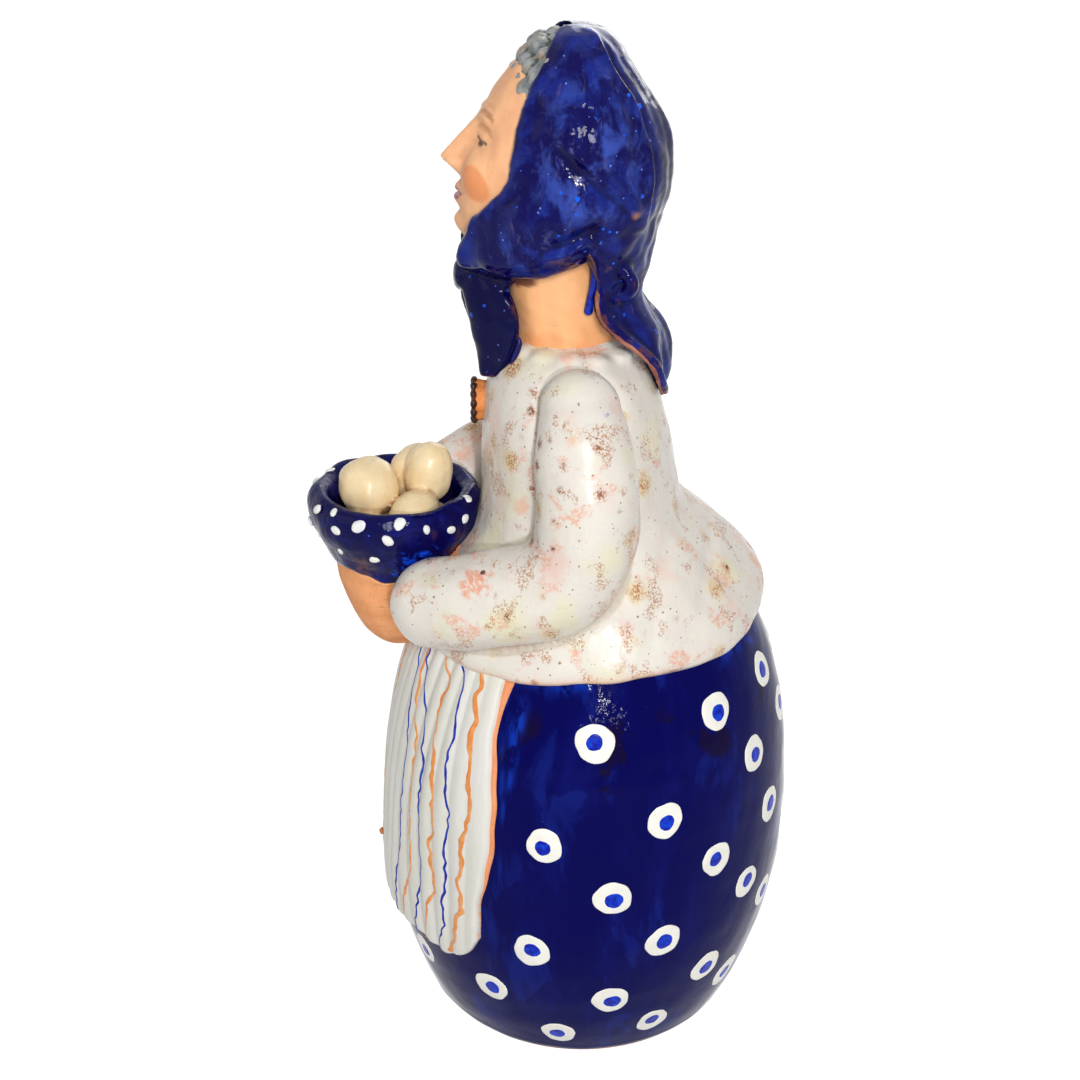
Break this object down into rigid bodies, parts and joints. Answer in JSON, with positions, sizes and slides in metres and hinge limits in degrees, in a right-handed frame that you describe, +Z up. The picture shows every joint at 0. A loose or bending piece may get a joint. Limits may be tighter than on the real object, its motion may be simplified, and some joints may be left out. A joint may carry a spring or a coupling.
{
  "type": "ceramic grandmother figurine",
  "caption": "Hand-built glazed earthenware figurine of a grandmother in a kerchief, striped apron and ring-dotted skirt, holding a bowl of potatoes; hollow and open at the foot",
  "frame": {"origin": "on the table, under the middle of the outline seen from above", "axes": "+Z up, the figure faces -Y, her left side is +X"},
  "size_m": [0.1252, 0.1452, 0.3],
  "materials": {
    "glazed_clay": "glossy cobalt and satin off-white glazes on red earthenware, bare clay on the neck, the bowl's foot and inside"
  },
  "bodies": {
    "root": {"figurine": "glazed_clay"}
  },
  "joints": []
}
